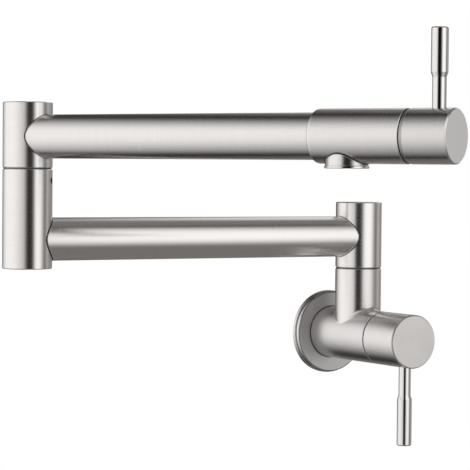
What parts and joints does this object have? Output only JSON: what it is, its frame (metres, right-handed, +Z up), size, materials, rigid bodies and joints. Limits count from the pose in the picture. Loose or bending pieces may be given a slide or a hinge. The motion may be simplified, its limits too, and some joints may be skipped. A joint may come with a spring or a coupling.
{
  "type": "wall mounted pot filler",
  "caption": "Wall mounted pot filler tap: round wall flange, valve with lever, two-part swinging arm and a spout head with its own lever and aerator.",
  "frame": {"origin": "on the wall valve's axis, at the wall plane where the flange stands", "axes": "+Y into the wall along the valve axis, +X to the right along the wall, +Z up"},
  "size_m": [0.2925, 0.3062, 0.2683],
  "materials": {
    "brushed_steel": "brushed",
    "polished_steel": "polished",
    "screw_steel": "plain",
    "brass": "machined",
    "rubber": "matte",
    "ceramic": "lapped",
    "nylon": "matte",
    "acetal": "matte"
  },
  "bodies": {
    "wall_valve": {"wall_nipple": "brass", "wall_flange": "brushed_steel", "flange_gasket": "rubber", "inlet_washer": "rubber", "valve_body": "brushed_steel", "hub_set_screw": "screw_steel", "wall_cartridge_body": "brass", "wall_cartridge_ring": "rubber", "wall_seat_washer": "rubber", "wall_fixed_disc": "ceramic", "wall_bonnet_nut": "polished_steel"},
    "wall_handle": {"wall_spindle": "brass", "wall_turning_disc": "ceramic", "wall_spindle_clip": "screw_steel", "wall_handle_cap": "brushed_steel", "wall_handle_screw": "screw_steel", "wall_lever": "polished_steel"},
    "lower_arm": {"hub_post": "brushed_steel", "hub_stem": "brass", "hub_stem_rings": "rubber", "hub_glide_ring": "acetal", "lower_tube": "brushed_steel", "elbow_lower_post": "brushed_steel", "elbow_set_screw": "screw_steel"},
    "upper_arm": {"elbow_upper_post": "brushed_steel", "elbow_stem": "brass", "elbow_stem_rings": "rubber", "elbow_glide_ring": "acetal", "upper_tube": "brushed_steel", "head_body": "brushed_steel", "aerator_housing": "polished_steel", "aerator_insert": "nylon", "aerator_washer": "rubber", "head_cartridge_body": "brass", "head_cartridge_ring": "rubber", "head_seat_washer": "rubber", "head_fixed_disc": "ceramic", "head_bonnet_nut": "polished_steel"},
    "spout_handle": {"head_spindle": "brass", "head_turning_disc": "ceramic", "head_spindle_clip": "screw_steel", "head_handle_cap": "brushed_steel", "head_handle_screw": "screw_steel", "head_lever": "polished_steel"}
  },
  "joints": [
    {"name": "wall_handle_turn", "type": "hinge", "parent": "wall_valve", "child": "wall_handle", "pos_m": [0, -0.08, 0], "axis": [0, -1, 0], "range_deg": [0, 90]},
    {"name": "wall_swivel", "type": "hinge", "parent": "wall_valve", "child": "lower_arm", "pos_m": [0, -0.0382, 0.0468], "axis": [0, 0, 1], "range_deg": [0, 190]},
    {"name": "elbow_swivel", "type": "hinge", "parent": "lower_arm", "child": "upper_arm", "pos_m": [-0.24724, -0.01874, 0.1143], "axis": [0, 0, 1], "continuous": true},
    {"name": "spout_handle_turn", "type": "hinge", "parent": "upper_arm", "child": "spout_handle", "pos_m": [-0.11476, -0.27108, 0.1351], "axis": [0.4648, -0.8854, 0], "range_deg": [0, 90]}
  ]
}
